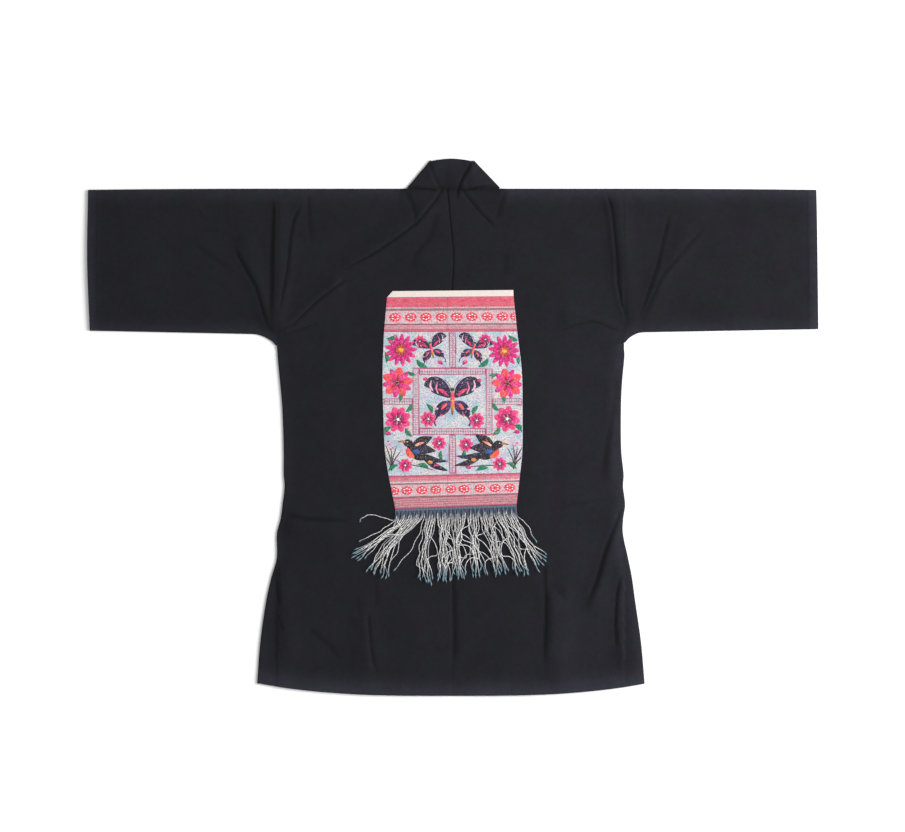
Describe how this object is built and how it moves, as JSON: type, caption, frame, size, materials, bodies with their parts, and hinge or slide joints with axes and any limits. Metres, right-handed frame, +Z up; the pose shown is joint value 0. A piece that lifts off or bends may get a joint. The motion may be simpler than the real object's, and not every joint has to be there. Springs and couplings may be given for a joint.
{
  "type": "kimono coat",
  "caption": "Kimono-style coat laid out flat with its back up, with square sleeves, a band collar, and a fringed embroidered panel on the back.",
  "frame": {"origin": "middle of the coat's box on the surface that it lies on", "axes": "+X across the sleeves towards the right of the back view, +Y from the hem towards the collar, +Z up through the cloth, towards the side that shows the coat's back"},
  "size_m": [1.3001, 0.955, 0.0112],
  "materials": {
    "coat_cloth": "matt black woven cloth with a soft sheen",
    "pale_linen": "pale turned edge with cross stitches",
    "red_border": "striped border with a row of stitched rosettes",
    "stitched_ground": "pale mottled ground covered with satin-stitch birds and flowers",
    "fringe_cord": "twisted cream cotton cords with indigo roots and blue knotted tips"
  },
  "bodies": {
    "root": {"back_left": "coat_cloth", "back_right": "coat_cloth", "front_left": "coat_cloth", "front_right": "coat_cloth", "sleeve_left": "coat_cloth", "sleeve_right": "coat_cloth", "collar_band": "coat_cloth", "panel_heading": "pale_linen", "panel_border_top": "red_border", "panel_field": "stitched_ground", "panel_border_bottom": "red_border", "fringe": "fringe_cord"}
  },
  "joints": []
}
